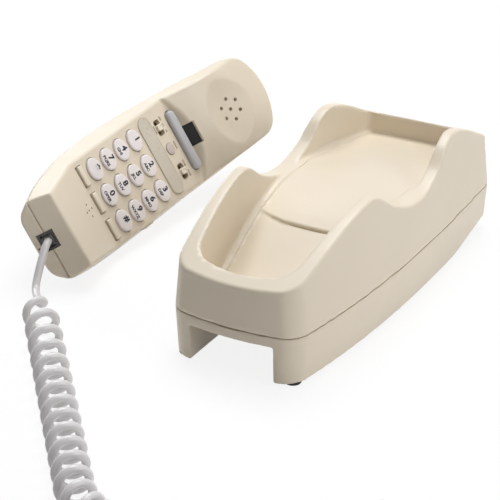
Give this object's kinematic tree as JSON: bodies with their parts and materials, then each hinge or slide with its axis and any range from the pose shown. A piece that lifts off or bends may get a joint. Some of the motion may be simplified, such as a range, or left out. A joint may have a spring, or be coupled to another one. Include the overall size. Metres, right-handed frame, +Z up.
{
  "type": "corded landline phone",
  "caption": "One-piece telephone handset with a keypad in its face, lying beside its long cradle base, with a curly cord.",
  "frame": {"origin": "middle of the footprint of base and handset, on the surface that they stand on", "axes": "+Z up; +Y along the base and the handset, from the mouthpiece end to the ear end; +X from the handset to the base"},
  "size_m": [0.3447, 0.3808, 0.074],
  "materials": {
    "shell": "fine spark-eroded moulded ABS, warm ivory",
    "foot_rubber": "matte black rubber",
    "screw_steel": "zinc plated",
    "ballast_steel": "plain rolled steel",
    "board": "phenolic circuit board",
    "jack": "dark brown-black moulded nylon",
    "window_bar": "smooth clear-over-grey acrylic",
    "hook_grey": "smooth grey plastic",
    "switch_black": "black phenolic",
    "slot_black": "dark recessed plastic",
    "knob": "moulded ivory plastic",
    "button_grey": "pinkish grey silicone rubber",
    "mat": "silicone rubber",
    "capsule": "drawn can",
    "brass_disc": "thin brass",
    "plug_clear": "clear polycarbonate",
    "cord": "smooth PVC jacket, light grey",
    "key_grey": "smooth lavender grey plastic with dark figures",
    "bar_cream": "moulded cream plastic"
  },
  "bodies": {
    "base": {"base_cover": "shell", "base_bottom": "shell", "base_feet": "foot_rubber", "base_screws": "screw_steel", "base_ballast": "ballast_steel", "base_jack_board": "board", "base_handset_jack": "jack", "base_line_jack": "jack"},
    "handset": {"handset_front": "shell", "handset_back": "shell", "handset_screws": "screw_steel", "number_window": "window_bar", "hook_switch": "switch_black", "hook_slot_liner": "slot_black", "switch_bodies": "switch_black", "key_mat": "mat", "circuit_board": "board", "receiver": "capsule", "microphone": "capsule", "ringer_disc": "brass_disc", "handset_weight": "ballast_steel", "handset_jack": "jack", "handset_plug": "plug_clear", "handset_lead": "cord", "curly_cord": "cord", "base_lead": "cord", "base_plug": "plug_clear"},
    "hook_bar": {"hook_bar": "hook_grey"},
    "ringer_knob": {"ringer_knob": "knob"},
    "dialling_knob": {"dialling_knob": "knob"},
    "round_button": {"round_button": "button_grey"},
    "volume_slider": {"volume_slider": "knob"},
    "key_1": {"key_1": "key_grey"},
    "key_2": {"key_2": "key_grey"},
    "key_3": {"key_3": "key_grey"},
    "key_4": {"key_4": "key_grey"},
    "key_5": {"key_5": "key_grey"},
    "key_6": {"key_6": "key_grey"},
    "key_7": {"key_7": "key_grey"},
    "key_8": {"key_8": "key_grey"},
    "key_9": {"key_9": "key_grey"},
    "key_star": {"key_star": "key_grey"},
    "key_0": {"key_0": "key_grey"},
    "key_pound": {"key_pound": "key_grey"},
    "bar_button_1": {"bar_button_1": "bar_cream"},
    "bar_button_2": {"bar_button_2": "bar_cream"},
    "bar_button_3": {"bar_button_3": "bar_cream"}
  },
  "joints": [
    {"name": "handset_lift", "type": "slide", "parent": "base", "child": "handset", "axis": [0, 0, 1], "range_m": [0, 0.15]},
    {"name": "key_1_press", "type": "slide", "parent": "handset", "child": "key_1", "axis": [-0.8621, 0.0975, -0.4973], "range_m": [0, 0.0012], "stiffness_N_per_m": 600},
    {"name": "key_2_press", "type": "slide", "parent": "handset", "child": "key_2", "axis": [-0.8621, 0.0975, -0.4973], "range_m": [0, 0.0012], "stiffness_N_per_m": 600},
    {"name": "key_3_press", "type": "slide", "parent": "handset", "child": "key_3", "axis": [-0.8621, 0.0975, -0.4973], "range_m": [0, 0.0012], "stiffness_N_per_m": 600},
    {"name": "key_4_press", "type": "slide", "parent": "handset", "child": "key_4", "axis": [-0.8621, 0.0975, -0.4973], "range_m": [0, 0.0012], "stiffness_N_per_m": 600},
    {"name": "key_5_press", "type": "slide", "parent": "handset", "child": "key_5", "axis": [-0.8621, 0.0975, -0.4973], "range_m": [0, 0.0012], "stiffness_N_per_m": 600},
    {"name": "key_6_press", "type": "slide", "parent": "handset", "child": "key_6", "axis": [-0.8621, 0.0975, -0.4973], "range_m": [0, 0.0012], "stiffness_N_per_m": 600},
    {"name": "key_7_press", "type": "slide", "parent": "handset", "child": "key_7", "axis": [-0.8621, 0.0975, -0.4973], "range_m": [0, 0.0012], "stiffness_N_per_m": 600},
    {"name": "key_8_press", "type": "slide", "parent": "handset", "child": "key_8", "axis": [-0.8621, 0.0975, -0.4973], "range_m": [0, 0.0012], "stiffness_N_per_m": 600},
    {"name": "key_9_press", "type": "slide", "parent": "handset", "child": "key_9", "axis": [-0.8621, 0.0975, -0.4973], "range_m": [0, 0.0012], "stiffness_N_per_m": 600},
    {"name": "key_star_press", "type": "slide", "parent": "handset", "child": "key_star", "axis": [-0.8621, 0.0975, -0.4973], "range_m": [0, 0.0012], "stiffness_N_per_m": 600},
    {"name": "key_0_press", "type": "slide", "parent": "handset", "child": "key_0", "axis": [-0.8621, 0.0975, -0.4973], "range_m": [0, 0.0012], "stiffness_N_per_m": 600},
    {"name": "key_pound_press", "type": "slide", "parent": "handset", "child": "key_pound", "axis": [-0.8621, 0.0975, -0.4973], "range_m": [0, 0.0012], "stiffness_N_per_m": 600},
    {"name": "bar_button_1_press", "type": "slide", "parent": "handset", "child": "bar_button_1", "axis": [-0.8621, 0.0975, -0.4973], "range_m": [0, 0.0012], "stiffness_N_per_m": 600},
    {"name": "bar_button_2_press", "type": "slide", "parent": "handset", "child": "bar_button_2", "axis": [-0.8621, 0.0975, -0.4973], "range_m": [0, 0.0012], "stiffness_N_per_m": 600},
    {"name": "bar_button_3_press", "type": "slide", "parent": "handset", "child": "bar_button_3", "axis": [-0.8621, 0.0975, -0.4973], "range_m": [0, 0.0012], "stiffness_N_per_m": 600},
    {"name": "round_button_press", "type": "slide", "parent": "handset", "child": "round_button", "axis": [-0.8621, 0.0975, -0.4973], "range_m": [0, 0.0008], "stiffness_N_per_m": 600},
    {"name": "hook_bar_press", "type": "slide", "parent": "handset", "child": "hook_bar", "axis": [-0.8621, 0.0975, -0.4973], "range_m": [0, 0.0026], "stiffness_N_per_m": 200},
    {"name": "ringer_slide", "type": "slide", "parent": "handset", "child": "ringer_knob", "axis": [0.5041, 0.0642, -0.8613], "range_m": [-0.0027, 0.0027]},
    {"name": "dialling_slide", "type": "slide", "parent": "handset", "child": "dialling_knob", "axis": [0.5041, 0.0642, -0.8613], "range_m": [-0.0027, 0.0027]},
    {"name": "volume_slide", "type": "slide", "parent": "handset", "child": "volume_slider", "axis": [0.052, 0.9932, 0.1045], "range_m": [-0.003, 0.003]}
  ]
}
